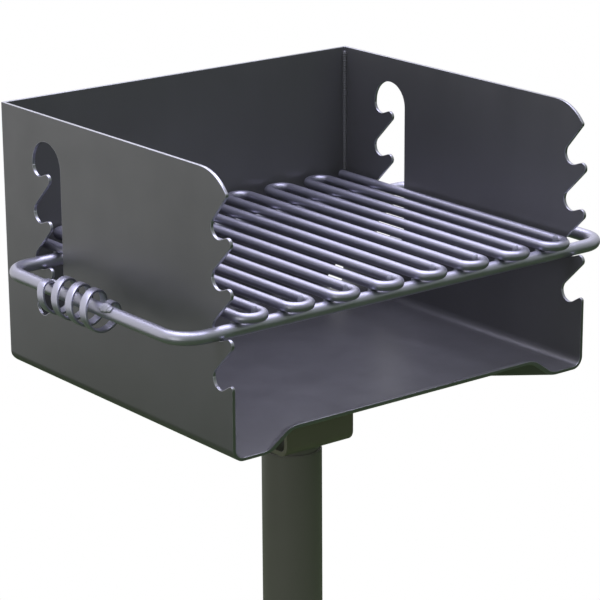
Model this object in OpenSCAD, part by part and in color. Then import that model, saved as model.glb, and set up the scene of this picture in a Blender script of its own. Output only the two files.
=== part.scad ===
// Park barbecue grill on a pedestal: a folded steel firebox that turns on its post,
// with a captive cooking grate that lifts along hooked notches and has coil hand grips.
// Millimetres. The origin is on the post's axis, at the underside of the base plate.
// The firebox's open front faces -Y.

/* [Firebox] */
// Outside width of the firebox, from side to side
box_w = 424.5; // [380:0.5:500]
// Depth of the firebox, from front to back
box_d = 367; // [340:1:420]
// Height of the firebox
box_h = 262; // [255:1:320]
// Thickness of the firebox sheet
sheet_t = 3.2; // [2:0.1:5]
// Outside radius of the folds along the floor
fold_r = 12; // [8:0.5:16]
// Height of the firebox's underside above the ground
floor_z = 750; // [600:1:900]
// How far the firebox's middle stands in front of the post
box_forward = 6.5; // [0:0.5:20]

/* [Notches] */
// Number of grate heights
levels = 4; // [3:1:4]
// Height of the lowest seat above the firebox's underside
first_seat_z = 63.6; // [50:0.1:70]
// Distance of the highest seat below the firebox's top
last_seat_drop = 61; // [50:0.5:75]
// Radius of a seat
seat_r = 10; // [8:0.1:10.5]
// Depth of a seat's centre behind the front edge
seat_depth = 18.2; // [17:0.1:22]
// Radius of a hook's nose
nose_r = 5.4; // [4:0.1:6]
// Drop of a nose's centre below its seat
nose_drop = 1.6; // [1:0.1:3]
// Distance of the rear seats in front of the firebox's back
rear_seat_in = 62.8; // [50:0.1:75]
// Clear width of the rear slot in front of its hooks
channel_w = 19.5; // [16:0.5:22]
// Radius of the round top front corner of a side
brow_r = 46; // [35:0.5:55]
// Distance of that corner's centre behind the front edge
brow_depth = 42.8; // [35:0.1:50]
// Radius of the tip below the corner
brow_tip_r = 3; // [2:0.1:4]

/* [Front lip] */
// Distance of the lip's fold behind the front edge
lip_depth = 36.5; // [30:0.5:45]
// Upward angle of the lip
lip_angle = 28; // [20:1:35]
// Inside radius of the lip's folds
lip_fold_r = 8; // [6:0.5:12]
// Distance from each side to where the lip starts to rise
lip_side = 33; // [25:1:50]
// Distance from each side to the inner end of the lip's corner crease
crease_side = 83; // [70:1:100]
// Steepness of the lip's two ends
lip_end_angle = 50; // [40:1:60]

/* [Grate] */
// Diameter of the frame rod
frame_rod_d = 12.7; // [10:0.1:14]
// Diameter of the cooking grid's rod
grid_rod_d = 9.5; // [8:0.1:11]
// Number of grid bars, an even number
bar_count = 16; // [12:2:16]
// Distance between neighbouring grid bars
bar_pitch = 26; // [24:0.5:26.5]
// Distance of the grid's front bends in front of the front seats
grid_front = 13; // [8:0.5:16]
// Air between the grid's rear ends and the firebox's back
grid_back_gap = 9.6; // [5:0.1:20]
// Reach of each handle beyond its side panel
handle_reach = 48.5; // [35:0.5:60]
// Bend radius of the handles' corners, at the rod's centre
handle_r = 26; // [18:0.5:34]
// How far the grate stands to the right of the firebox's middle
grate_shift = 2; // [0:0.5:6]
// Level at which the grate hangs, counted from the lowest at 0
rest_level = 1; // [0:1:2]

/* [Coil grips] */
// Outside diameter of a coil grip
coil_d = 37.5; // [34:0.5:42]
// Width of the flat bar
coil_bar_w = 10; // [8:0.1:14]
// Thickness of the flat bar
coil_bar_t = 2.6; // [2:0.1:4]
// Advance of the coil in one turn
coil_pitch = 23.5; // [18:0.5:26]
// Turns in a coil
coil_turns = 4; // [3:1:5]
// How far a coil's middle stands behind the middle of the grate frame
coil_back = 13; // [5:1:30]

/* [Post and swivel] */
// Outside diameter of the post
post_d = 60.3; // [48:0.1:80]
// Wall of the post
post_wall = 3.9; // [2.5:0.1:6]
// Thickness of the post's top cap
cap_t = 8; // [5:0.5:12]
// Thickness of the bearing washer under the bracket
bearing_t = 2.5; // [1.5:0.1:4]
// Diameter of the bearing washer
bearing_d = 54; // [45:0.5:58]
// Diameter of the pivot bolt
bolt_d = 15.9; // [12:0.1:20]
// Clearance all round the pivot bolt
bolt_clear = 0.3; // [0.2:0.05:0.6]
// Width of the bracket, along the firebox's width
bracket_w = 83; // [60:1:120]
// Depth of the bracket, from its front wall to its rear wall
bracket_d = 92; // [75:1:120]
// Height of the bracket
bracket_h = 78; // [70:1:100]
// Thickness of the bracket's plate
bracket_t = 4.8; // [3:0.1:8]
// Outside radius of the bracket's folds
bracket_fold_r = 11; // [8:0.5:14]

/* [Base] */
// Thickness of the base plate
base_t = 9.5; // [6:0.5:15]
// Corner radius of the base plate
base_r = 12; // [5:0.5:25]
// Distance between neighbouring anchor holes
anchor_pitch = 203; // [150:1:260]
// Distance of the anchor holes' middles from the base plate's edges
anchor_edge = 25.5; // [20:0.5:40]
// Diameter of the anchor holes
anchor_hole_d = 14.3; // [10:0.1:20]

/* [Hidden] */
$fn = 64;

// One overrun for every cut
over = 1;
// Air between two rods that a weld joins, and under a rod that lies in its seats
seat_gap = 0.2;
rest_gap = 0.3;
// Sizes of the weld beads
base_weld_leg = 6;
cap_weld_leg = 2;
sheet_weld_leg = 4;
weld_hollow_share = 0.8;
grid_weld_d = 7;
grip_weld_r = 4;
frame_weld_w = 6;
frame_weld_h = 0.8;
// How far a straight edge runs inside the circle it meets, so that the two cross cleanly
ease = 0.02;
// Corner radius on top of the lowest hook, and its height above the lowest seat
last_corner_r = 3;
last_corner_z = 7.2;
// Foot of the slot's channel: its corner radius
slot_foot_r = 6;
// Start of the slot's round top above the middle of its highest seat
slot_rise = 1.5;
// Reliefs at the lower rear corners: width and height of the cut in the back
relief_w = 26;
relief_h = 18;
// Direction in which the brow's tip lies from its round corner's centre, above the level
brow_tip_angle = 37.5;
// Rounding of the sides' lower rear corners
heel_r = 9;
// How much of its full height the lip's end rises to, and the straight steps of its folds
lip_rise_share = 0.9;
lip_steps = 6;
// Nuts, bolt head and washer as shares of the bolt's diameter
hex_share = 1.5;
nut_h_share = 0.85;
jam_h_share = 0.5;
head_h_share = 0.6;
washer_d_share = 2.1;
washer_t = 2.5;
bolt_end = 6;
bolt_chamfer = 1.5;
// How far a coil's axis hangs below the rod's
coil_hang = 2.5;
// The part of a turn over which a coil's ends draw in to the rod
coil_end_share = 0.25;
// Rings of the coil in one turn
coil_rings = 24;
// Rounding of the flat bar's long edges
coil_edge = 0.8;

// Places worked out from the sizes above
base_w = anchor_pitch + 2 * anchor_edge;
box_y = -box_forward;
front_y = -box_d / 2;
back_y = box_d / 2;
fold_in_r = fold_r - sheet_t;
seat_in = seat_depth + seat_r;
seat_span = box_d - seat_depth - rear_seat_in;
level_pitch = (box_h - last_seat_drop - first_seat_z) / (levels - 1);
rear_in_y = front_y + seat_span + seat_in;
channel_y = front_y + seat_span - channel_w;
rod_r = frame_rod_d / 2;
bar_r = grid_rod_d / 2;
grate_z = floor_z + first_seat_z + rest_level * level_pitch + rod_r + rest_gap;
grate_front_y = box_y + front_y + seat_depth;
grate_rear_y = grate_front_y + seat_span;
handle_x = box_w / 2 + handle_reach - rod_r;
grid_z = grate_z + rod_r + bar_r + seat_gap;
bracket_z = floor_z - bracket_h;
cap_top_z = bracket_z - bearing_t;
post_top_z = cap_top_z - cap_t;
bolt_hole_d = bolt_d + 2 * bolt_clear;
washer_z = bracket_z + bracket_t;
nut_z = washer_z + washer_t;
jam_z = nut_z + nut_h_share * bolt_d;
bolt_top_z = jam_z + jam_h_share * bolt_d + bolt_end;
coil_z = grate_z - coil_hang;
coil_r = (coil_d - coil_bar_t) / 2;
coil_draw = coil_d / 2 - coil_bar_t - coil_hang - rod_r - seat_gap;
coil_rear_y = (grate_front_y + grate_rear_y + coil_turns * coil_pitch) / 2 + coil_back;
coil_steps = coil_turns * coil_rings;

function polar(r, a) = [r * cos(a), r * sin(a)];
function arc(c, r, a0, a1, n) = [for (i = [0 : n]) c + polar(r, a0 + (a1 - a0) * i / n)];
// Direction of the line that touches circle a from above and circle b from below
function cross_line(a, ra, b, rb) =
    atan2(b[1] - a[1], b[0] - a[0]) - asin((ra + rb) / norm(b - a));
// Direction of the line that touches circle a from below and circle b from above
function under_line(a, ra, b, rb) =
    atan2(b[1] - a[1], b[0] - a[0]) + asin((ra + rb) / norm(b - a));

// Centres in a side's outline, measured from its front edge and the firebox's underside
function seat_at(k) = [seat_depth, first_seat_z + k * level_pitch + seat_r];
function nose_at(k) = [nose_r, first_seat_z + k * level_pitch - nose_drop];

// Lays an outline of depth and height along X, with its thickness from x0
module along_x(x0, length) {
    translate([x0, 0, 0]) rotate([90, 0, 90]) linear_extrude(length) children();
}

// Lays an outline of width and height along Y, with its thickness from y0 to the front
module along_y(y0, length) {
    translate([0, y0, 0]) rotate([90, 0, 0]) linear_extrude(length) children();
}

// A hook: it carries the seat above it, and its underside leads down to the seat below
module hook(k) {
    nose = nose_at(k);
    top = seat_at(k);
    below = seat_at(k - 1);
    lip = cross_line(nose, nose_r - ease, top, seat_r - ease) + 90;
    slope = under_line(nose, nose_r - ease, below, seat_r - ease) - 90;
    difference() {
        union() {
            translate(nose) circle(nose_r);
            polygon([
                nose + polar(nose_r - ease, lip), top - polar(seat_r - ease, lip),
                [seat_in + over, top[1]], [seat_in + over, below[1]],
                below - polar(seat_r - ease, slope), nose + polar(nose_r - ease, slope)
            ]);
        }
        translate(top) circle(seat_r);
        translate(below) circle(seat_r);
    }
}

// Centre of the top front corner, and of the tip that rounds the corner's lower end
brow_at = [brow_depth, box_h - brow_r];
brow_tip_at = brow_at + (brow_r - brow_tip_r) * [-cos(brow_tip_angle), sin(brow_tip_angle)];

// The brow above the highest seat: the round corner, cut off along its underside
module brow() {
    below = seat_at(levels - 1);
    slope = under_line(brow_tip_at, brow_tip_r - ease, below, seat_r - ease) - 90;
    difference() {
        union() {
            translate(brow_tip_at) circle(brow_tip_r);
            intersection() {
                union() {
                    translate(brow_at) circle(brow_r);
                    translate([brow_at[0], 0]) square([box_d / 2, box_h]);
                }
                polygon([
                    brow_tip_at + polar(brow_tip_r - ease, slope),
                    brow_tip_at + (brow_tip_r - ease) * [-cos(brow_tip_angle), sin(brow_tip_angle)],
                    brow_at + 2 * brow_r * [-cos(brow_tip_angle), sin(brow_tip_angle)],
                    [brow_at[0], box_h], [brow_at[0] + over, box_h],
                    [brow_at[0] + over, below[1] - over], [seat_in + ease, below[1] - over],
                    below - polar(seat_r - ease, slope)
                ]);
            }
        }
        translate(below) circle(seat_r);
    }
}

// The lowest hook, which runs on down as the straight front edge
module last_hook() {
    top = seat_at(0);
    edge = [last_corner_r + ease, first_seat_z + last_corner_z - last_corner_r];
    lip = cross_line(edge, last_corner_r - ease, top, seat_r - ease) + 90;
    difference() {
        union() {
            translate(edge) circle(last_corner_r);
            polygon([
                edge + polar(last_corner_r - ease, lip), top - polar(seat_r - ease, lip),
                [seat_in + over, top[1]], [seat_in + over, fold_r],
                [0, fold_r], [0, edge[1]]
            ]);
        }
        translate(top) circle(seat_r);
    }
}

// The hooks of one edge, in the outline's own place
module hooks() {
    for (k = [1 : levels - 1]) hook(k);
    last_hook();
}

// The opening at the rear of a side: a free channel in front of its own hooks
module rear_slot() {
    top_r = (rear_in_y + ease - channel_y) / 2;
    top_z = seat_at(levels - 1)[1] + slot_rise;
    foot_z = first_seat_z + last_corner_z;
    difference() {
        union() {
            translate([channel_y, foot_z + slot_foot_r])
                square([2 * top_r, top_z - foot_z - slot_foot_r]);
            translate([channel_y + slot_foot_r, first_seat_z])
                square([2 * top_r - slot_foot_r, top_z - first_seat_z]);
            translate([channel_y + slot_foot_r, foot_z + slot_foot_r]) circle(slot_foot_r);
            translate([channel_y + top_r, top_z]) circle(top_r);
        }
        translate([front_y + seat_span, 0]) {
            hooks();
            translate([-channel_w - over, fold_r])
                square([channel_w + over + last_corner_r, foot_z + ease - fold_r]);
        }
    }
}

// Outline of a side above its fold
module side_outline() {
    difference() {
        union() {
            translate([front_y + seat_in + ease, fold_r])
                square([box_d - seat_in - ease, seat_at(levels - 1)[1] - fold_r]);
            translate([front_y + brow_depth, fold_r])
                square([box_d - brow_depth, box_h - fold_r]);
            translate([front_y, 0]) {
                hooks();
                brow();
            }
        }
        rear_slot();
    }
}

// Quarter of a folded sheet, its centre at the origin and its outside down and to the left
module fold_outline(outer_r, wall) {
    difference() {
        circle(outer_r);
        circle(outer_r - wall);
        translate([0, -outer_r - over]) square([outer_r + over, 2 * (outer_r + over)]);
        translate([-outer_r - over, 0]) square([2 * (outer_r + over), outer_r + over]);
    }
}

// The lip's fold, from the flat floor up to the slope: everything under one face of the sheet
module under_ramp(face) {
    r = lip_fold_r + sheet_t - face;
    start = (lip_fold_r + sheet_t) * tan(lip_angle / 2);
    c = [-start, sheet_t + lip_fold_r];
    far = box_d;
    bend = arc(c, r, -90, -90 + lip_angle, lip_steps);
    end = bend[lip_steps];
    polygon(concat(
        [[-far, -over], [-far, face]], bend,
        [end + [lip_depth * 2, lip_depth * 2 * tan(lip_angle)], [end[0] + lip_depth * 2, -over]]
    ));
}

// The lip's end, from just below the flat floor up to its full height, under one face
module under_end(face) {
    rise = lip_rise_share * lip_depth * tan(lip_angle);
    both = 2 * lip_fold_r + sheet_t;
    run = (rise - both * (1 - cos(lip_end_angle))) / sin(lip_end_angle);
    foot = [0, sheet_t + lip_fold_r];
    shoulder = foot + [run * cos(lip_end_angle) + both * sin(lip_end_angle), rise - both];
    far = box_w;
    polygon(concat(
        [[-far, -over], [-far, face - ease], [0, face - ease]],
        arc(foot, lip_fold_r + sheet_t - face,
            -90 + lip_end_angle / lip_steps, -90 + lip_end_angle, lip_steps - 1),
        arc(shoulder, lip_fold_r + face, 90 + lip_end_angle, 90, lip_steps),
        [[far, rise + face], [far, -over]]
    ));
}

// Everything under one face of the floor: face is 0 for its underside, sheet_t for its top
module under_floor(face) {
    translate([-box_w / 2, front_y - over, -over]) cube([box_w, box_d, face + over]);
    intersection() {
        translate([-box_w / 2, front_y + lip_depth, 0]) mirror([0, 1, 0])
            along_x(0, box_w) under_ramp(face);
        lip_end(face);
        mirror([1, 0, 0]) lip_end(face);
    }
}

// The right end of the lip, swept along its corner crease
module lip_end(face) {
    crease_angle = atan2(lip_depth, crease_side - lip_side);
    translate([box_w / 2 - lip_side, front_y, 0])
        rotate([0, 0, -90 - crease_angle])
            translate([0, box_w, 0]) along_y(0, 2 * box_w) under_end(face);
}

// The floor between the folds, with the lip at its front
module floor_sheet() {
    w = box_w - 2 * fold_r;
    intersection() {
        difference() {
            under_floor(sheet_t);
            under_floor(0);
        }
        translate([-w / 2, front_y, 0]) cube([w, box_d - fold_r, box_h]);
    }
}

module firebox_shell() {
    color("#3c3b42") translate([0, box_y, floor_z]) {
        floor_sheet();
        for (s = [0, 1]) mirror([s, 0, 0]) {
            difference() {
                union() {
                    along_x(box_w / 2 - sheet_t, sheet_t) side_outline();
                    along_y(back_y, box_d) translate([box_w / 2 - fold_r, fold_r])
                        mirror([1, 0]) fold_outline(fold_r, sheet_t);
                }
                along_x(box_w / 2 - fold_r, fold_r + over) translate([back_y, 0])
                    difference() {
                        translate([-heel_r, -over]) square([heel_r + over, heel_r + over]);
                        translate([-heel_r, heel_r]) circle(heel_r);
                    }
            }
        }
        back_sheet();
    }
}

// The back, folded up from the floor between the sides, with its lower corners cut away
module back_sheet() {
    half = box_w / 2 - sheet_t;
    along_x(relief_w - half, 2 * (half - relief_w))
        translate([back_y - fold_r, fold_r]) mirror([1, 0]) fold_outline(fold_r, sheet_t);
    along_y(back_y, sheet_t) polygon([
        [-half + relief_w, fold_r], [-half + relief_w - relief_h, fold_r + relief_h],
        [-half, fold_r + relief_h], [-half, box_h], [half, box_h], [half, fold_r + relief_h],
        [half - relief_w + relief_h, fold_r + relief_h], [half - relief_w, fold_r]
    ]);
}

// Fillet bead in the corner between a side and the back
module corner_weld() {
    foot = floor_z + fold_r + relief_h + sheet_weld_leg;
    translate([box_w / 2 - sheet_t, box_y + back_y - sheet_t, foot])
        linear_extrude(floor_z + box_h - foot - sheet_weld_leg)
            difference() {
                polygon([[0, 0], [-sheet_weld_leg, 0], [0, -sheet_weld_leg]]);
                translate([-sheet_weld_leg, -sheet_weld_leg]) circle(weld_hollow_share * sheet_weld_leg);
            }
}

module left_corner_weld() color("#38373d") mirror([1, 0, 0]) corner_weld();

module right_corner_weld() color("#38373d") corner_weld();

// Outline of the bracket: two walls and a bottom with round folds
module bracket_outline() {
    half = bracket_d / 2;
    for (s = [0, 1]) mirror([s, 0]) {
        translate([-half + bracket_fold_r, bracket_fold_r]) fold_outline(bracket_fold_r, bracket_t);
        translate([-half, bracket_fold_r]) square([bracket_t, bracket_h - bracket_fold_r]);
    }
    translate([bracket_fold_r - half, 0]) square([2 * (half - bracket_fold_r), bracket_t]);
}

module swivel_bracket() {
    color("#2f2f33") translate([0, 0, bracket_z]) difference() {
        along_x(-bracket_w / 2, bracket_w) bracket_outline();
        translate([0, 0, -over]) cylinder(d = bolt_d + 2 * bolt_clear, h = bracket_t + 2 * over);
    }
}

// Beads along the tops of the bracket's walls, on their outside
module bracket_welds() {
    leg = sheet_weld_leg;
    color("#38373d") for (s = [0, 1]) mirror([0, s, 0])
        along_x(leg - bracket_w / 2, bracket_w - 2 * leg)
            translate([-bracket_d / 2, floor_z]) polygon([[0, 0], [0, -leg], [-leg, 0]]);
}

// The frame: one rod bent into a ring, whose ends stand out through the sides as handles
module rod_x(x0, x1, y) {
    translate([x0, y, grate_z]) rotate([0, 90, 0]) cylinder(r = rod_r, h = x1 - x0);
}

module grate_frame() {
    straight = seat_span - 2 * handle_r;
    x_end = handle_x - handle_r;
    color("#4a494f") translate([grate_shift, 0, 0]) {
        rod_x(-x_end, x_end, grate_front_y);
        rod_x(-x_end, x_end, grate_rear_y);
        for (s = [-1, 1]) translate([s * handle_x, grate_rear_y - handle_r, grate_z])
            rotate([90, 0, 0]) cylinder(r = rod_r, h = straight);
        for (s = [0, 1]) mirror([s, 0, 0]) {
            frame_corner(x_end, grate_rear_y - handle_r, 0);
            frame_corner(x_end, grate_front_y + handle_r, -90);
        }
    }
}

module frame_corner(x, y, turn) {
    translate([x, y, grate_z]) rotate([0, 0, turn])
        rotate_extrude(angle = 90) translate([handle_r, 0]) circle(rod_r);
}

// The bead that closes the ring, midway between two grid bars on the rear run
module frame_weld() {
    x = grate_shift + 2 * bar_pitch;
    color("#45444a") translate([x - frame_weld_w / 2, grate_rear_y, grate_z])
        rotate([0, 90, 0]) difference() {
            cylinder(r = rod_r + frame_weld_h, h = frame_weld_w);
            translate([0, 0, -over]) cylinder(r = rod_r, h = frame_weld_w + 2 * over);
        }
}

function bar_x(i) = grate_shift + (i - (bar_count - 1) / 2) * bar_pitch;

// The cooking grid: one rod bent to and fro
module cooking_grid() {
    bend_r = bar_pitch / 2;
    front = grate_front_y - grid_front + bend_r;
    rear = box_y + back_y - sheet_t - grid_back_gap - bend_r;
    color("#5a5962") {
        for (i = [0 : bar_count - 1]) {
            tail = (i == 0 || i == bar_count - 1) ? bend_r : 0;
            translate([bar_x(i), rear + tail, grid_z]) rotate([90, 0, 0])
                cylinder(r = bar_r, h = rear + tail - front);
        }
        for (i = [0 : 2 : bar_count - 2])
            translate([bar_x(i) + bend_r, front, grid_z]) rotate([0, 0, 180]) half_bend(bend_r);
        for (i = [1 : 2 : bar_count - 3])
            translate([bar_x(i) + bend_r, rear, grid_z]) half_bend(bend_r);
    }
}

module half_bend(r) {
    rotate_extrude(angle = 180) translate([r, 0]) circle(bar_r);
}

// The welds where the grid's bars lie on the frame's two runs, on the rear of each run
module grid_welds() {
    color("#45444a") for (y = [grate_front_y, grate_rear_y], i = [0 : bar_count - 1])
        difference() {
            translate([bar_x(i), y + grid_weld_d / 2, grate_z])
                cylinder(d = grid_weld_d, h = grid_z - grate_z);
            rod_x(bar_x(i) - bar_pitch / 2, bar_x(i) + bar_pitch / 2, y);
            translate([bar_x(i), y + bar_pitch / 2, grid_z]) rotate([90, 0, 0])
                cylinder(r = bar_r, h = bar_pitch);
        }
}

// Outline of a coil grip's flat bar: first towards its face, then along the rod. The bar is
// wound round the handle and rests on its rod at both ends.
coil_bar = let (t = coil_bar_t / 2, w = coil_bar_w / 2, e = coil_edge) [
    [t, w - e], [t, e - w], [t - e, -w], [e - t, -w], [-t, e - w], [-t, w - e], [e - t, w], [t - e, w]
];

// How far the bar's middle is drawn in at step i, smoothly over the ends
function coil_in(i) =
    let (to_end = min(i, coil_steps - i) / (coil_end_share * coil_rings))
    to_end >= 1 ? 0 : coil_draw * (1 + cos(180 * to_end)) / 2;

function coil_point(i, p) =
    let (a = 90 + 360 * i / coil_rings, r = coil_r - coil_in(i) + p[0])
    [r * cos(a), coil_rear_y - coil_pitch * i / coil_rings + p[1], coil_z + r * sin(a)];

function coil_ring(i) = [for (p = coil_bar) coil_point(i, p)];

// A solid along rings of equal count, as triangles
module sweep(rings) {
    n = len(rings[0]);
    last = (len(rings) - 1) * n;
    sides = [for (i = [0 : len(rings) - 2], j = [0 : n - 1])
        let (a = i * n + j, b = i * n + (j + 1) % n)
        each [[a, a + n, b + n], [a, b + n, b]]];
    ends = [for (j = [1 : n - 2]) each [[0, j, j + 1], [last, last + j + 1, last + j]]];
    polyhedron([for (ring = rings) each ring], concat(sides, ends));
}

module coil() {
    sweep([for (i = [0 : coil_steps]) coil_ring(i)]);
}

// Least air between neighbouring turns, measured on the bar's points
coil_gaps = [for (i = [0 : coil_steps - coil_rings], p = coil_bar, q = coil_bar)
    norm(coil_point(i, p) - coil_point(i + coil_rings, q))];
echo("least gap between turns of a coil grip", min(coil_gaps));

module left_coil_grip() {
    color("#8d8c96") translate([grate_shift - handle_x, 0, 0]) coil();
}

module right_coil_grip() {
    color("#8d8c96") translate([grate_shift + handle_x, 0, 0]) mirror([1, 0, 0]) coil();
}

// The beads that hold both ends of each coil on top of its rod
module grip_welds() {
    color("#8d8c96") translate([grate_shift, 0, 0]) for (s = [0, 1]) mirror([s, 0, 0])
        translate([-handle_x, 0, 0]) {
            grip_weld(coil_rear_y, 0);
            grip_weld(coil_rear_y - coil_turns * coil_pitch, 1);
        }
}

module grip_weld(y, side) {
    r = grip_weld_r;
    w = coil_bar_w;
    translate([0, y + w / 2, grate_z]) mirror([side, 0, 0]) difference() {
        translate([0, 0, rod_r]) rotate([90, 0, 0]) cylinder(r = r, h = w);
        translate([-r - over, -w - over, 0]) cube([r + over, w + 2 * over, rod_r + r + over]);
        translate([0, over, 0]) rotate([90, 0, 0]) cylinder(r = rod_r, h = w + 2 * over);
        translate([-over, -w - over, -rod_r]) cube([2 * rod_r, w + 2 * over, rod_r + over]);
    }
}

// The post, its cap and its base
module ring(outer_d, inner_d, z, h) {
    translate([0, 0, z]) difference() {
        cylinder(d = outer_d, h = h);
        translate([0, 0, -over]) cylinder(d = inner_d, h = h + 2 * over);
    }
}

module fillet_ring(d, z, leg) {
    translate([0, 0, z]) rotate_extrude()
        translate([d / 2, 0]) polygon([[0, 0], [leg, 0], [0, leg]]);
}

module hexagon(z, h) {
    translate([0, 0, z]) cylinder(d = hex_share * bolt_d / cos(30), h = h, $fn = 6);
}

module nut(z, h) {
    difference() {
        hexagon(z, h);
        translate([0, 0, z - over]) cylinder(d = bolt_d + bolt_clear, h = h + 2 * over);
    }
}

module base_plate() {
    half = base_w / 2;
    color("#2e302e") linear_extrude(base_t) difference() {
        union() {
            translate([-half, base_r - half]) square([base_w, base_w - 2 * base_r]);
            translate([base_r - half, -half]) square([base_w - 2 * base_r, base_w]);
            for (x = [-1, 1], y = [-1, 1])
                translate([x, y] * (half - base_r)) circle(base_r);
        }
        for (x = [-1, 1], y = [-1, 1])
            translate([x, y] * anchor_pitch / 2) circle(d = anchor_hole_d);
    }
}

module base_weld() color("#38373d") fillet_ring(post_d, base_t, base_weld_leg);

module post_pipe() {
    color("#2e302e") ring(post_d, post_d - 2 * post_wall, base_t, post_top_z - base_t);
}

module post_cap() color("#2e302e") ring(post_d - 2 * cap_weld_leg, bolt_hole_d, post_top_z, cap_t);

module cap_weld() {
    color("#38373d") fillet_ring(post_d - 2 * cap_weld_leg, post_top_z, cap_weld_leg);
}

module pivot_bolt() {
    head_h = head_h_share * bolt_d;
    tip = bolt_top_z - bolt_chamfer;
    color("#9a9ca0") {
        hexagon(post_top_z - head_h, head_h);
        translate([0, 0, post_top_z - head_h]) cylinder(d = bolt_d, h = tip - post_top_z + head_h);
        translate([0, 0, tip])
            cylinder(d1 = bolt_d, d2 = bolt_d - 2 * bolt_chamfer, h = bolt_chamfer);
    }
}

module bearing_washer() color("#8a8c8f") ring(bearing_d, bolt_hole_d, cap_top_z, bearing_t);

module nut_washer() {
    color("#9a9ca0") ring(washer_d_share * bolt_d, bolt_hole_d, washer_z, washer_t);
}

module pivot_nut() color("#9a9ca0") nut(nut_z, nut_h_share * bolt_d);

module jam_nut() color("#9a9ca0") nut(jam_z, jam_h_share * bolt_d);

base_plate();
base_weld();
post_pipe();
post_cap();
cap_weld();
pivot_bolt();
bearing_washer();
nut_washer();
pivot_nut();
jam_nut();
swivel_bracket();
bracket_welds();
firebox_shell();
left_corner_weld();
right_corner_weld();
grate_frame();
frame_weld();
cooking_grid();
grid_welds();
left_coil_grip();
right_coil_grip();
grip_welds();
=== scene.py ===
"""Park barbecue grill on its pedestal: looks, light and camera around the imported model.

Metres. The origin is on the post's axis at the ground, and the open front faces -Y.
"""

import math
import random

import bmesh
import bpy
from mathutils import Matrix, Vector


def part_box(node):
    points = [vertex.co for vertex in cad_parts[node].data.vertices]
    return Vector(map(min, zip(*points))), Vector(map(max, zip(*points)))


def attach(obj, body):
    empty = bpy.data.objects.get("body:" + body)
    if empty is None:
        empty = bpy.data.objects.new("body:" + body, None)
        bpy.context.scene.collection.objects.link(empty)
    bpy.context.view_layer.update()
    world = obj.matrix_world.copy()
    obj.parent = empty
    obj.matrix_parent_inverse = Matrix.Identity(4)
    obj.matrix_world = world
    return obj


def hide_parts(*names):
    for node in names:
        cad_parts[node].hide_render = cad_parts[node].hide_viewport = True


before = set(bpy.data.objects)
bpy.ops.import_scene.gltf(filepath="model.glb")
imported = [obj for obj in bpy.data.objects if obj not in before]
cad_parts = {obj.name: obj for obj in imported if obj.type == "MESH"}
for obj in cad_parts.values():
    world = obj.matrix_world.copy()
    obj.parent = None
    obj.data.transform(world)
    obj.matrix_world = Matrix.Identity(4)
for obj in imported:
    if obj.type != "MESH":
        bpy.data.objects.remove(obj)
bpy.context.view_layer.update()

MM = 0.001

# Camera: fitted to about forty edge points of the photograph
CAMERA_AZIMUTH = math.radians(-37.99)
CAMERA_ELEVATION = math.radians(17.06)
CAMERA_ROLL = math.radians(-0.32)
CAMERA_PLACE = Vector((-1.4658, -1.8915, 1.5489))
LENS_MM = 153.8
SENSOR_MM = 36.0

# Rounding of the sheared sheet's edges, and of the smaller plates and nuts. A face counts as cut
# where each of its edges is sharp or shorter than the cut width
SHEET_EDGE = 0.55 * MM
PLATE_EDGE = 0.7 * MM
NUT_EDGE = 0.9 * MM
CUT_WIDTH = 5 * MM
SHARP_ANGLE = math.radians(38)
FLAT_ANGLE = math.radians(0.5)
ALL_SMOOTH = math.pi
SAME_POINT = 0.002 * MM

# Frame rod, as in the part
FRAME_ROD = 12.7 * MM

# Coil grips: turns, pitch, flat bar and hang below the rod as in the part. The bar's rounded edge,
# the coil's lean, the room between its ends and the rod and the shares of a turn in which the ends
# draw in are this script's own
COIL_TURNS = 4
COIL_PITCH = 23.5 * MM
COIL_BAR_WIDTH = 10 * MM
COIL_BAR_THICK = 2.6 * MM
COIL_BAR_EDGE = 0.9 * MM
COIL_HANG = 2.5 * MM
COIL_TILT = 4 * MM
COIL_GAP = 0.2 * MM
COIL_START_SHARE = 0.17
COIL_END_SHARE = 0.3
COIL_STEPS = 60

# Grid: its bars and the width of its welds as in the part, then the size of each weld's drop as
# shares of that width, and its height as a share of the weld's box
GRID_BARS = 16
GRID_WELD_WIDTH = 7 * MM
GRID_DROP_SHARES = (0.55, 0.5, 0.42)
GRID_DROP_HEIGHT = 2 / 3
# A drop inside each front bend: how far it lies from the bar's middle, and its size
BEND_DROP_SHIFT = 3.8 * MM
BEND_DROP = (3.1 * MM, 3.6 * MM, 4.9 * MM)

# Weld beads: how deep they sit in their corner and how wide they are, as shares of the leg,
# then their ripples, their chance unevenness and the lumps of single drops
BEAD_INSET_SHARE = 0.28
BEAD_SHARE = 0.64
BEAD_SIDES = 12
RIPPLE_PITCH = 2.6 * MM
RIPPLE_STEPS = 6
RIPPLE_SHARE = 0.16
BEAD_CHANCE = 0.03
BEAD_TIP = 0.1
BEAD_LEAST_STEPS = 8
LUMP_SHARE = 0.06
LUMP_WAVES = 4
GRIP_WELD_LEAN = math.radians(38)
# Where each drop of a grip weld lies along the rod, and its size
GRIP_DROPS = (
    (-4.5 * MM, (3.6 * MM, 3.4 * MM, 1.9 * MM)),
    (-0.5 * MM, (4.8 * MM, 3.8 * MM, 3.0 * MM)),
    (3.5 * MM, (5.2 * MM, 3.6 * MM, 2.6 * MM)),
    (7 * MM, (3.8 * MM, 3.0 * MM, 1.7 * MM)),
)

# Pivot bolt: its head and its thread. Known fault: the part's hexagon is 1.5
# diameters across its flats, and the half of that here makes the shank twice as thick as the part's
# and the head twice as high, so that the shank swallows the nuts
HEX_SHARE = 1.5 / 2
HEAD_SHARE = 0.6
THREAD_PITCH = 2 * MM
THREAD_DEPTH = 1.1 * MM
THREAD_STEPS = 4
THREAD_SIDES = 32

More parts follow.
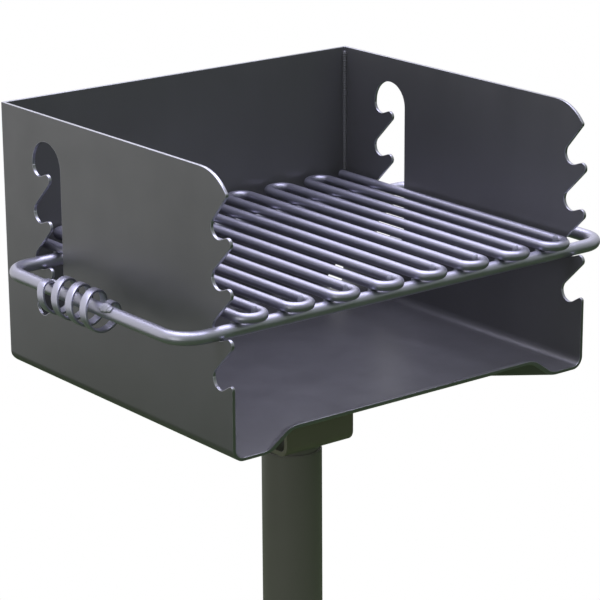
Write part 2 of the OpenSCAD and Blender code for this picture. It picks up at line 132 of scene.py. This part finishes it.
# Floor: its tone for the camera and for other rays, and where it fades to white
FLOOR_RADIUS = 14.0
FLOOR_SIDES = 96
FLOOR_SEEN = (0.93, 0.87, 0.79)
FLOOR_TONE = (0.1, 0.143, 0.06)
FLOOR_FADE = (0.45, 1.05)
FLOOR_GLOSS_FADE = (1.5, 3.1)

# Room: its even light, and the direction towards which reflections find it bright
ROOM_COLOUR = (0.84, 1.0, 0.8)
ROOM_STRENGTH = 0.3
ROOM_BRIGHT_SIDE = (0, 0.8, 0.6)
ROOM_GRADE = (("From Min", -0.4), ("From Max", 0.6), ("To Min", 0.08), ("To Max", 1.0))

# Lamps, all aimed at the middle of the firebox: name, place, size, watts and colour
FIREBOX_MIDDLE = Vector((0, 0, 0.87))
LAMPS = (
    ("overhead", (0.1, 0.2, 2.9), 2.4, 80, (0.75, 0.745, 1.0)),
    ("left", (-1.5, -0.4, 0.9), 0.6, 2.4, (1, 1, 1)),
    ("rear right", (0.65, 1.4, 2.2), 0.8, 6, (0.8, 0.8, 1.0)),
)


# Materials


class Recipe:
    """A material's node tree, with short calls to add and join its nodes."""

    def __init__(self, name):
        self.material = bpy.data.materials.new(name)
        self.material.use_nodes = True
        self.tree = self.material.node_tree
        self.shader = self.tree.nodes["Principled BSDF"]
        self.place = self.node("ShaderNodeTexCoord").outputs["Object"]

    def node(self, kind, **settings):
        node = self.tree.nodes.new(kind)
        for key, value in settings.items():
            setattr(node, key, value)
        return node

    def join(self, output, socket):
        self.tree.links.new(output, socket)

    def stretched(self, scale):
        """The place on the object, scaled by a different factor along each axis."""
        mapping = self.node("ShaderNodeMapping")
        mapping.inputs["Scale"].default_value = scale
        self.join(self.place, mapping.inputs["Vector"])
        return mapping.outputs["Vector"]

    def noise(self, scale, detail, place=None):
        noise = self.node("ShaderNodeTexNoise")
        noise.inputs["Scale"].default_value = scale
        noise.inputs["Detail"].default_value = detail
        self.join(place or self.place, noise.inputs["Vector"])
        return noise.outputs["Fac"]

    def span(self, value, low, high, out_low, out_high):
        """A value's range turned into another range."""
        node = self.node("ShaderNodeMapRange")
        for key, number in (
            ("From Min", low),
            ("From Max", high),
            ("To Min", out_low),
            ("To Max", out_high),
        ):
            node.inputs[key].default_value = number
        self.join(value, node.inputs["Value"])
        return node.outputs["Result"]

    def feed(self, value, socket):
        """Sets a socket to an output, a plain colour or a number."""
        if isinstance(value, bpy.types.NodeSocket):
            self.join(value, socket)
        else:
            socket.default_value = (*value, 1) if isinstance(value, tuple) else value

    def mix(self, share, first, second):
        """Mixes two colours by a share."""
        node = self.node("ShaderNodeMix", data_type="RGBA")
        for value, index in ((share, 0), (first, 6), (second, 7)):
            self.feed(value, node.inputs[index])
        return node.outputs[2]

    def bump(self, heights):
        """Bumps on top of each other: heights are (value, depth in metres)."""
        normal = None
        for value, depth in heights:
            bump = self.node("ShaderNodeBump")
            bump.inputs["Strength"].default_value = 1.0
            bump.inputs["Distance"].default_value = depth
            self.join(value, bump.inputs["Height"])
            if normal is not None:
                self.join(normal, bump.inputs["Normal"])
            normal = bump.outputs["Normal"]
        self.join(normal, self.shader.inputs["Normal"])

    def set(self, **values):
        """Feeds the shader's sockets, named in lower case."""
        for key, value in values.items():
            self.feed(value, self.shader.inputs[key.replace("_", " ").title()])


def satin_paint(name, colour, dusty, roughness, grain=0.03 * MM, metallic=0.0):
    """Sprayed heat-proof paint: cloudy, finely pebbled, with a trace of dust and rain marks.

    Noise scales, here and below, are in waves to the metre.
    """
    r = Recipe(name)
    clouds = r.noise(5.0, detail=5)
    marks = r.noise(7.0, detail=4, place=r.stretched((1, 1, 0.12)))
    patches = r.span(clouds, 0.35, 0.68, 0.0, 1.0)
    streaks = r.span(marks, 0.52, 0.75, 0.0, 0.35)
    shaded = r.mix(patches, tuple(0.93 * c for c in colour), tuple(1.07 * c for c in colour))
    r.set(
        base_color=r.mix(streaks, shaded, dusty),
        roughness=r.span(r.noise(28.0, detail=4), 0.3, 0.7, roughness - 0.035, roughness + 0.045),
        metallic=metallic,
    )
    pebbles = r.noise(900.0, detail=2)
    waves = r.noise(60.0, detail=2)
    r.bump([(waves, 0.06 * MM), (pebbles, grain)])
    return r.material


def bead_paint(name, colour):
    """The same paint over a weld, a little coarser."""
    return satin_paint(name, colour, tuple(1.2 * c for c in colour), 0.46, grain=0.08 * MM)


def pale_steel(name, colour, tint, roughness, metallic):
    """Bare or plated steel with a drawn grain and faint clouds."""
    r = Recipe(name)
    clouds = r.span(r.noise(45.0, detail=4), 0.3, 0.7, 0.0, 1.0)
    r.set(
        base_color=r.mix(clouds, colour, tint),
        roughness=r.span(r.noise(130.0, detail=3), 0.3, 0.7, roughness - 0.05, roughness + 0.07),
        metallic=metallic,
    )
    r.bump([(r.noise(700.0, detail=3), 0.02 * MM)])
    return r.material


CHARCOAL = (0.15, 0.146, 0.154)
CHARCOAL_DUST = (0.19, 0.186, 0.194)
# Sheet edge colour: a lighter, metallic grey on every rounding and cut face, partly rubbed paint and
# partly a painted highlight along the edges
RUBBED_AND_HIGHLIGHT_GREY = (0.38, 0.38, 0.43)
RUBBED_AND_HIGHLIGHT_GREY_DUST = (0.42, 0.42, 0.47)
ROD_CHARCOAL = (0.41, 0.405, 0.48)
ROD_CHARCOAL_DUST = (0.46, 0.455, 0.53)
GRID_CHARCOAL = (0.34, 0.335, 0.405)
GRID_CHARCOAL_DUST = (0.4, 0.395, 0.47)
BRACKET_GREEN = (0.215, 0.2, 0.16)
BRACKET_GREEN_DUST = (0.25, 0.237, 0.195)
POST_GREEN = (0.215, 0.196, 0.196)
POST_GREEN_DUST = (0.25, 0.232, 0.232)
GRIP_PALE = (0.5, 0.495, 0.6)
GRIP_CLOUD = (0.41, 0.405, 0.49)
GRIP_BEAD = (0.5, 0.495, 0.55)
GRIP_BEAD_CLOUD = (0.26, 0.26, 0.29)
ZINC = (0.6, 0.61, 0.63)
ZINC_CLOUD = (0.5, 0.51, 0.54)

firebox_paint = satin_paint("firebox charcoal satin", CHARCOAL, CHARCOAL_DUST, 0.37, metallic=0.4)
# Edge finish: partly rubbed paint, partly a painted highlight on every sharp edge of the sheet
rubbed_edge_and_highlight = satin_paint("rubbed sheet edge and painted highlight", RUBBED_AND_HIGHLIGHT_GREY, RUBBED_AND_HIGHLIGHT_GREY_DUST, 0.3, metallic=0.95)
rod_paint = satin_paint("grate charcoal satin", ROD_CHARCOAL, ROD_CHARCOAL_DUST, 0.39, metallic=0.8)
grid_paint = satin_paint(
    "cooking grid charcoal satin", GRID_CHARCOAL, GRID_CHARCOAL_DUST, 0.4, metallic=0.8
)
bracket_paint = satin_paint("bracket charcoal satin", BRACKET_GREEN, BRACKET_GREEN_DUST, 0.4)
post_paint = satin_paint("post dark enamel", POST_GREEN, POST_GREEN_DUST, 0.36)
bead_charcoal = bead_paint("painted weld bead", (0.14, 0.136, 0.143))
rod_bead = bead_paint("painted weld on rod", (0.27, 0.266, 0.31))
grip_steel = pale_steel("coil grip satin steel", GRIP_PALE, GRIP_CLOUD, 0.4, metallic=0.9)
bead_pale = pale_steel("grip weld bead", GRIP_BEAD, GRIP_BEAD_CLOUD, 0.5, metallic=0.6)
zinc = pale_steel("zinc plate", ZINC, ZINC_CLOUD, 0.4, metallic=0.5)


def coat(node, material):
    """Gives a node of the part its finish."""
    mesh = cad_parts[node].data
    mesh.materials.clear()
    mesh.materials.append(material)


def finish_piece(name, bm, node, body, materials, smooth_angle=SHARP_ANGLE):
    """Makes an object of a bmesh and shades it; it rides on its body in the place of a node."""
    bmesh.ops.recalc_face_normals(bm, faces=bm.faces)
    for face in bm.faces:
        face.smooth = True
    for edge in bm.edges:
        edge.smooth = len(edge.link_faces) == 2 and edge.calc_face_angle(0) < smooth_angle
    mesh = bpy.data.meshes.new(name)
    bm.to_mesh(mesh)
    bm.free()
    for material in materials:
        mesh.materials.append(material)
    piece = bpy.data.objects.new(name, mesh)
    bpy.context.scene.collection.objects.link(piece)
    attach(piece, body)
    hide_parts(node)
    return piece


# Sheet, plates and nuts: the part's own shapes with their edges rounded


def rounded_copy(node, body, materials, radius, segments=2):
    """A copy of a node with every sharp edge rounded; roundings and cut faces take the last material."""
    bm = bmesh.new()
    bm.from_mesh(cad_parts[node].data)
    bmesh.ops.remove_doubles(bm, verts=bm.verts, dist=SAME_POINT)
    bmesh.ops.dissolve_limit(
        bm, angle_limit=FLAT_ANGLE, verts=bm.verts, edges=bm.edges, use_dissolve_boundaries=False
    )
    sharp = [e for e in bm.edges if len(e.link_faces) == 2 and e.calc_face_angle(0) > SHARP_ANGLE]
    rim = set(sharp)
    for face in bm.faces:
        if all(e in rim or e.calc_length() < CUT_WIDTH for e in face.edges):
            face.material_index = len(materials) - 1
    made = bmesh.ops.bevel(
        bm, geom=sharp, offset=radius, offset_type="OFFSET", segments=segments, profile=0.5,
        affect="EDGES", material=-1, clamp_overlap=False, loop_slide=True,
    )
    for face in made["faces"]:
        face.material_index = len(materials) - 1
    low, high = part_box(node)
    for vert in bm.verts:
        vert.co = [min(max(v, a), b) for v, a, b in zip(vert.co, low, high)]
    piece = finish_piece(node + "_rounded", bm, node, body, materials)
    even = piece.modifiers.new("even shading", "WEIGHTED_NORMAL")
    even.keep_sharp = True


# The firebox's roundings and cut faces take the lighter edge colour, partly rubbed paint and partly a
# painted highlight
rounded_copy("firebox_shell", "firebox", [firebox_paint, rubbed_edge_and_highlight], SHEET_EDGE)
rounded_copy("swivel_bracket", "firebox", [bracket_paint, bracket_paint], SHEET_EDGE)
rounded_copy("base_plate", "post", [post_paint, post_paint], PLATE_EDGE)
for plated in ("pivot_nut", "jam_nut"):
    rounded_copy(plated, "post", [zinc, zinc], NUT_EDGE, segments=1)
for plated in ("bearing_washer", "nut_washer"):
    coat(plated, zinc)
for enamelled in ("post_pipe", "post_cap"):
    coat(enamelled, post_paint)
coat("grate_frame", rod_paint)
coat("cooking_grid", grid_paint)


# Weld beads and the bolt: a round outline swept along a path, swelling and narrowing as it goes


def pulled(bm, ring):
    """Pulls a copy out of a ring of edges, and gives its vertices and its edges."""
    made = bmesh.ops.extrude_edge_only(bm, edges=ring)
    verts = [v for v in made["geom"] if isinstance(v, bmesh.types.BMVert)]
    edges = [e for e in made["geom"] if isinstance(e, bmesh.types.BMEdge)
             and all(v in verts for v in e.verts)]
    return verts, edges


def swept(bm, path, radii, closed=False, sides=BEAD_SIDES):
    """Sweeps a circle along a path of points, with a radius for each point."""
    count = len(path)

    def turned(i):
        before = path[(i - 1) % count] if closed or i > 0 else path[0]
        after = path[(i + 1) % count] if closed or i < count - 1 else path[-1]
        return (after - before).to_track_quat("Z", "Y").to_matrix().to_4x4()

    def placed(i):
        return Matrix.Translation(path[i]) @ turned(i) @ Matrix.Scale(radii[i], 4)

    made = bmesh.ops.create_circle(bm, segments=sides, radius=1.0, matrix=placed(0))
    first = list(dict.fromkeys(e for v in made["verts"] for e in v.link_edges))
    ring = first
    for i in range(1, count):
        verts, ring = pulled(bm, ring)
        bmesh.ops.transform(bm, matrix=placed(i) @ placed(i - 1).inverted(), verts=verts)
    if closed:
        bmesh.ops.bridge_loops(bm, edges=first + ring)
    else:
        bmesh.ops.holes_fill(bm, edges=[e for e in first + ring if len(e.link_faces) == 1])


def rippled(length, radius, chance, taper=True):
    """Radii along a bead: one ripple for each drop of weld, and soft ends."""
    steps = max(BEAD_LEAST_STEPS, round(length / (RIPPLE_PITCH / RIPPLE_STEPS)))
    radii = []
    for i in range(steps + 1):
        ripple = abs(math.sin(math.pi * i / RIPPLE_STEPS))
        size = radius * (1 - RIPPLE_SHARE * ripple) * chance.uniform(1 - BEAD_CHANCE, 1 + BEAD_CHANCE)
        to_end = min(i, steps - i) * length / steps
        if taper and to_end < radius:
            size *= math.sqrt(max(BEAD_TIP, 1 - (1 - to_end / radius) ** 2))
        radii.append(size)
    return radii


def straight_bead(bm, start, end, radius, chance):
    """A rippled bead from one point to another."""
    radii = rippled((end - start).length, radius, chance)
    swept(bm, [start.lerp(end, i / (len(radii) - 1)) for i in range(len(radii))], radii)


def round_bead(bm, centre, across, up, ring_radius, radius, chance):
    """A rippled bead round a ring in the plane of two directions."""
    radii = rippled(math.tau * ring_radius, radius, chance, taper=False)[:-1]
    turns = [math.tau * i / len(radii) for i in range(len(radii))]
    path = [centre + ring_radius * (across * math.cos(t) + up * math.sin(t)) for t in turns]
    swept(bm, path, radii, closed=True)


def lump(bm, centre, size, chance, turn=0.0):
    """One drop of weld: an uneven ball, flattened and turned about Y."""
    made = bmesh.ops.create_icosphere(bm, subdivisions=3, radius=1.0)
    place = Matrix.Translation(centre) @ Matrix.Rotation(turn, 4, "Y") @ Matrix.Diagonal((*size, 1))
    phase = [chance.uniform(0, math.tau) for _ in range(3)]
    for vert in made["verts"]:
        wave = sum(math.sin(LUMP_WAVES * c + p) for c, p in zip(vert.co, phase))
        vert.co *= 1 + LUMP_SHARE * wave
    bmesh.ops.transform(bm, matrix=place, verts=made["verts"])


def ring_bead(node):
    """The bead round an end of the pipe: its box gives its inner radius and its leg."""
    low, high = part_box(node)
    leg = high.z - low.z
    inset = BEAD_INSET_SHARE * leg
    bm = bmesh.new()
    round_bead(bm, Vector((0, 0, low.z + inset)), Vector((1, 0, 0)), Vector((0, 1, 0)),
               high.x - leg + inset, BEAD_SHARE * leg, random.Random(node))
    finish_piece(node + "_rippled", bm, node, "post", [post_paint], ALL_SMOOTH)


def corner_bead(node, side):
    """The upright bead inside a rear corner of the firebox."""
    low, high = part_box(node)
    leg = high.x - low.x
    inset = BEAD_INSET_SHARE * leg
    x = low.x + inset if side < 0 else high.x - inset
    bm = bmesh.new()
    straight_bead(bm, Vector((x, high.y - inset, low.z)), Vector((x, high.y - inset, high.z)),
                  BEAD_SHARE * leg, random.Random(node))
    finish_piece(node + "_rippled", bm, node, "firebox", [bead_charcoal], ALL_SMOOTH)


def bracket_beads():
    """The beads between the bracket's two walls and the firebox's floor."""
    node = "bracket_welds"
    low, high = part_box(node)
    leg = high.z - low.z
    inset = BEAD_INSET_SHARE * leg
    bm = bmesh.new()
    for seed, y in enumerate((low.y + leg - inset, high.y - leg + inset)):
        straight_bead(bm, Vector((low.x, y, high.z - inset)), Vector((high.x, y, high.z - inset)),
                      BEAD_SHARE * leg, random.Random(seed))
    finish_piece("bracket_beads", bm, node, "firebox", [bead_charcoal], ALL_SMOOTH)


def frame_bead():
    """The butt weld round the frame rod: its bead is half as wide as the part's plain ring."""
    node = "frame_weld"
    low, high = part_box(node)
    proud = (high.z - low.z - FRAME_ROD) / 2
    tube = (high.x - low.x) / 4
    bm = bmesh.new()
    round_bead(bm, (low + high) / 2, Vector((0, 1, 0)), Vector((0, 0, 1)),
               FRAME_ROD / 2 + proud - tube, tube, random.Random(1))
    finish_piece("frame_bead", bm, node, "grate", [rod_bead], ALL_SMOOTH)


def grid_beads():
    """A drop of weld under each bar where it crosses the frame, and one inside each front bend."""
    node = "grid_welds"
    low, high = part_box(node)
    grid_low, grid_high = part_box("cooking_grid")
    bar_axis = (grid_low.z + grid_high.z) / 2
    size = GRID_WELD_WIDTH
    pitch = (high.x - low.x - size) / (GRID_BARS - 1)
    chance = random.Random(2)
    bm = bmesh.new()
    for y in (low.y, high.y - size):
        for i in range(GRID_BARS):
            x = low.x + size / 2 + i * pitch
            place = Vector((x, y + size / 2, low.z + GRID_DROP_HEIGHT * (high.z - low.z)))
            lump(bm, place, [share * size for share in GRID_DROP_SHARES], chance)
            if y == low.y and i % 2:
                inside = Vector((place.x - BEND_DROP_SHIFT, place.y, bar_axis))
                lump(bm, inside, BEND_DROP, chance)
    finish_piece("grid_beads", bm, node, "grate", [rod_bead], ALL_SMOOTH)


def grip_beads():
    """The welds at both ends of each coil: outside the rod at the front, inside at the rear."""
    node = "grip_welds"
    low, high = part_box(node)
    rod_low, rod_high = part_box("grate_frame")
    axis_z = (rod_low.z + rod_high.z) / 2
    chance = random.Random(5)
    bm = bmesh.new()
    ends = (
        (low.y + COIL_BAR_WIDTH / 2, GRIP_WELD_LEAN),
        (high.y - COIL_BAR_WIDTH / 2, -GRIP_WELD_LEAN),
    )
    for side, axis_x in ((-1, rod_low.x + FRAME_ROD / 2), (1, rod_high.x - FRAME_ROD / 2)):
        for y, lean in ends:
            turn = side * lean
            up = Vector((math.sin(turn), 0, math.cos(turn)))
            centre = Vector((axis_x, y, axis_z)) + up * (FRAME_ROD / 2)
            for shift, size in GRIP_DROPS:
                lump(bm, centre + Vector((0, shift, 0)), size, chance, turn)
    finish_piece("grip_beads", bm, node, "grate", [bead_pale], ALL_SMOOTH)


def threaded_bolt():
    """The pivot bolt with a chamfered head, and a thread made of rings."""
    node = "pivot_bolt"
    low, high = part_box(node)
    across = (high.x - low.x) / 2
    radius = across * math.cos(math.radians(30)) / HEX_SHARE
    head = HEAD_SHARE * 2 * radius
    bm = bmesh.new()
    bmesh.ops.create_cone(
        bm, cap_ends=True, segments=6, radius1=across, radius2=across, depth=head,
        matrix=Matrix.Translation((0, 0, low.z + head / 2)),
    )
    rim = [e for e in bm.edges if all(abs(v.co.z - low.z) < SAME_POINT for v in e.verts)]
    bmesh.ops.bevel(bm, geom=rim, offset=NUT_EDGE, segments=1, profile=0.5, affect="EDGES", material=-1)
    start = low.z + head
    steps = round((high.z - start) / THREAD_PITCH * THREAD_STEPS)
    heights = [start + (high.z - start) * i / steps for i in range(steps + 1)]
    half = THREAD_STEPS / 2
    radii = [radius - THREAD_DEPTH * abs(i % THREAD_STEPS - half) / half for i in range(steps + 1)]
    swept(bm, [Vector((0, 0, z)) for z in heights], radii, sides=THREAD_SIDES)
    finish_piece("pivot_bolt_threaded", bm, node, "post", [zinc])


for weld in ("base_weld", "cap_weld"):
    ring_bead(weld)
corner_bead("left_corner_weld", -1)
corner_bead("right_corner_weld", 1)
bracket_beads()
frame_bead()
grid_beads()
grip_beads()
threaded_bolt()


# Coil grips


def flat_bar_outline(bm):
    """The flat bar's outline in the XZ plane, its edges rounded, X across its thickness."""
    corners = [
        bm.verts.new((x * COIL_BAR_THICK / 2, z * COIL_BAR_WIDTH / 2, 0))
        for x, z in ((-1, -1), (1, -1), (1, 1), (-1, 1))
    ]
    bm.faces.new(corners)
    bmesh.ops.bevel(
        bm, geom=corners, offset=COIL_BAR_EDGE, segments=3, profile=0.5, affect="VERTICES", material=-1,
        offset_type="OFFSET", clamp_overlap=True,
    )
    return list(bm.faces)[0]


def coil_grip(node, side):
    """A flat bar wound round the handle, drawn in to the rod at both ends."""
    low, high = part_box(node)
    rod_low, rod_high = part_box("grate_frame")
    rod_axis = Vector((rod_low.x + FRAME_ROD / 2 if side < 0 else rod_high.x - FRAME_ROD / 2,
                       0, (rod_low.z + rod_high.z) / 2))
    axis = rod_axis - Vector((0, 0, COIL_HANG))
    radius = (high.x - low.x) / 2 - COIL_BAR_THICK / 2
    drawn = radius - COIL_BAR_THICK / 2 - COIL_HANG - FRAME_ROD / 2 - COIL_GAP
    first_y = (low.y + high.y + COIL_TURNS * COIL_PITCH) / 2
    steps = COIL_TURNS * COIL_STEPS
    turn = side * math.tau / COIL_STEPS

    def drawn_in(step):
        to_end = min(step / COIL_START_SHARE, (steps - step) / COIL_END_SHARE) / COIL_STEPS
        return 0 if to_end >= 1 else drawn * (1 + math.cos(math.pi * to_end)) / 2

    def along(step):
        turns = step / COIL_STEPS
        return COIL_TILT * (1 - math.sin(math.tau * turns)) - COIL_PITCH * turns

    bm = bmesh.new()
    start = flat_bar_outline(bm)
    ring = list(start.edges)
    verts = list(start.verts)
    bmesh.ops.rotate(bm, verts=verts, cent=(0, 0, 0), matrix=Matrix.Rotation(math.radians(-90), 3, "Y"))
    bmesh.ops.translate(bm, verts=verts, vec=axis + Vector((0, first_y + along(0), radius - drawn_in(0))))
    up = Vector((0, 0, 1))
    for step in range(steps):
        verts, ring = pulled(bm, ring)
        spun = Matrix.Rotation(turn, 3, "Y")
        bmesh.ops.rotate(bm, verts=verts, cent=axis, matrix=spun)
        up = spun @ up
        move = up * (drawn_in(step) - drawn_in(step + 1)) + Vector((0, along(step + 1) - along(step), 0))
        bmesh.ops.translate(bm, verts=verts, vec=move)
    bmesh.ops.holes_fill(bm, edges=[e for e in bm.edges if len(e.link_faces) == 1])
    finish_piece(node + "_wound", bm, node, "grate", [grip_steel])


coil_grip("left_coil_grip", -1)
coil_grip("right_coil_grip", 1)


# Room, light and camera


def plain_floor():
    """A pale disc on the ground that turns to plain white away from the object.

    The camera sees it neutral under the tinted lamps. Other rays meet a darker, greener ground.
    """
    bm = bmesh.new()
    bmesh.ops.create_circle(bm, cap_ends=True, segments=FLOOR_SIDES, radius=FLOOR_RADIUS)
    mesh = bpy.data.meshes.new("floor")
    bm.to_mesh(mesh)
    bm.free()
    floor = bpy.data.objects.new("floor", mesh)
    bpy.context.scene.collection.objects.link(floor)

    material = bpy.data.materials.new("pale studio floor")
    material.use_nodes = True
    tree = material.node_tree
    tree.nodes.clear()
    place = tree.nodes.new("ShaderNodeTexCoord")
    far = tree.nodes.new("ShaderNodeVectorMath")
    far.operation = "LENGTH"
    apart = tree.nodes.new("ShaderNodeSeparateXYZ")
    tree.links.new(place.outputs["Object"], apart.inputs[0])
    path = tree.nodes.new("ShaderNodeLightPath")
    shares = []
    for ray, distance, (start, end) in (
        ("Is Camera Ray", far.outputs["Value"], FLOOR_FADE),
        ("Is Glossy Ray", apart.outputs["Y"], FLOOR_GLOSS_FADE),
    ):
        fade = tree.nodes.new("ShaderNodeMapRange")
        fade.inputs["From Min"].default_value = start
        fade.inputs["From Max"].default_value = end
        share = tree.nodes.new("ShaderNodeMath")
        share.operation = "MULTIPLY"
        tree.links.new(distance, fade.inputs["Value"])
        tree.links.new(path.outputs[ray], share.inputs[0])
        tree.links.new(fade.outputs["Result"], share.inputs[1])
        shares.append(share.outputs[0])
    seen = tree.nodes.new("ShaderNodeMath")
    seen.operation = "ADD"
    tone = tree.nodes.new("ShaderNodeMix")
    tone.data_type = "RGBA"
    tone.inputs[6].default_value = (*FLOOR_TONE, 1)
    tone.inputs[7].default_value = (*FLOOR_SEEN, 1)
    tree.links.new(path.outputs["Is Camera Ray"], tone.inputs[0])
    matt = tree.nodes.new("ShaderNodeBsdfDiffuse")
    tree.links.new(tone.outputs[2], matt.inputs["Color"])
    white = tree.nodes.new("ShaderNodeEmission")
    mixed = tree.nodes.new("ShaderNodeMixShader")
    output = tree.nodes.new("ShaderNodeOutputMaterial")
    for source, target in (
        (place.outputs["Object"], far.inputs[0]),
        (shares[0], seen.inputs[0]),
        (shares[1], seen.inputs[1]),
        (seen.outputs[0], mixed.inputs["Fac"]),
        (matt.outputs[0], mixed.inputs[1]),
        (white.outputs[0], mixed.inputs[2]),
        (mixed.outputs[0], output.inputs["Surface"]),
    ):
        tree.links.new(source, target)
    mesh.materials.append(material)


def soft_room():
    """Even light from all round; the camera sees plain white, and reflections a graded white."""
    world = bpy.data.worlds.new("soft room")
    bpy.context.scene.world = world
    world.use_nodes = True
    tree = world.node_tree
    tree.nodes.clear()
    path = tree.nodes.new("ShaderNodeLightPath")
    towards = tree.nodes.new("ShaderNodeVectorMath")
    towards.operation = "DOT_PRODUCT"
    towards.inputs[1].default_value = ROOM_BRIGHT_SIDE
    place = tree.nodes.new("ShaderNodeTexCoord")
    tree.links.new(place.outputs["Generated"], towards.inputs[0])
    behind = tree.nodes.new("ShaderNodeMapRange")
    for key, number in ROOM_GRADE:
        behind.inputs[key].default_value = number
    tree.links.new(towards.outputs["Value"], behind.inputs["Value"])
    shown = tree.nodes.new("ShaderNodeMath")
    shown.operation = "MULTIPLY"
    tree.links.new(path.outputs["Is Glossy Ray"], shown.inputs[0])
    tree.links.new(behind.outputs["Result"], shown.inputs[1])
    white = tree.nodes.new("ShaderNodeMath")
    white.operation = "MAXIMUM"
    tree.links.new(path.outputs["Is Camera Ray"], white.inputs[0])
    tree.links.new(shown.outputs[0], white.inputs[1])
    lit = tree.nodes.new("ShaderNodeBackground")
    lit.inputs["Color"].default_value = (*ROOM_COLOUR, 1)
    lit.inputs["Strength"].default_value = ROOM_STRENGTH
    seen = tree.nodes.new("ShaderNodeBackground")
    seen.inputs["Color"].default_value = (1, 1, 1, 1)
    seen.inputs["Strength"].default_value = 1.0
    mixed = tree.nodes.new("ShaderNodeMixShader")
    output = tree.nodes.new("ShaderNodeOutputWorld")
    tree.links.new(white.outputs[0], mixed.inputs["Fac"])
    tree.links.new(lit.outputs[0], mixed.inputs[1])
    tree.links.new(seen.outputs[0], mixed.inputs[2])
    tree.links.new(mixed.outputs[0], output.inputs["Surface"])


def panel_light(name, place, size, watts, colour):
    """A square soft light that the camera doesn't see."""
    light = bpy.data.lights.new(name, "AREA")
    light.shape = "SQUARE"
    light.size = size
    light.energy = watts
    light.color = colour
    lamp = bpy.data.objects.new(name, light)
    lamp.location = place
    lamp.rotation_euler = (FIREBOX_MIDDLE - Vector(place)).to_track_quat("-Z", "Y").to_euler()
    lamp.visible_camera = False
    bpy.context.scene.collection.objects.link(lamp)


def photo_camera():
    """The photograph's camera, which looks along the fitted angles from the fitted place."""
    data = bpy.data.cameras.new("photo camera")
    data.lens = LENS_MM
    data.sensor_width = SENSOR_MM
    data.clip_end = 100
    camera = bpy.data.objects.new("photo camera", data)
    level = math.cos(CAMERA_ELEVATION)
    back = Vector((
        math.sin(CAMERA_AZIMUTH) * level, -math.cos(CAMERA_AZIMUTH) * level, math.sin(CAMERA_ELEVATION)
    ))
    turn = back.to_track_quat("Z", "Y").to_matrix() @ Matrix.Rotation(CAMERA_ROLL, 3, "Z")
    camera.rotation_euler = turn.to_euler()
    camera.location = CAMERA_PLACE
    bpy.context.scene.collection.objects.link(camera)
    bpy.context.scene.camera = camera


plain_floor()
soft_room()
for lamp in LAMPS:
    panel_light(*lamp)
photo_camera()
bpy.context.scene.view_settings.view_transform = "Standard"
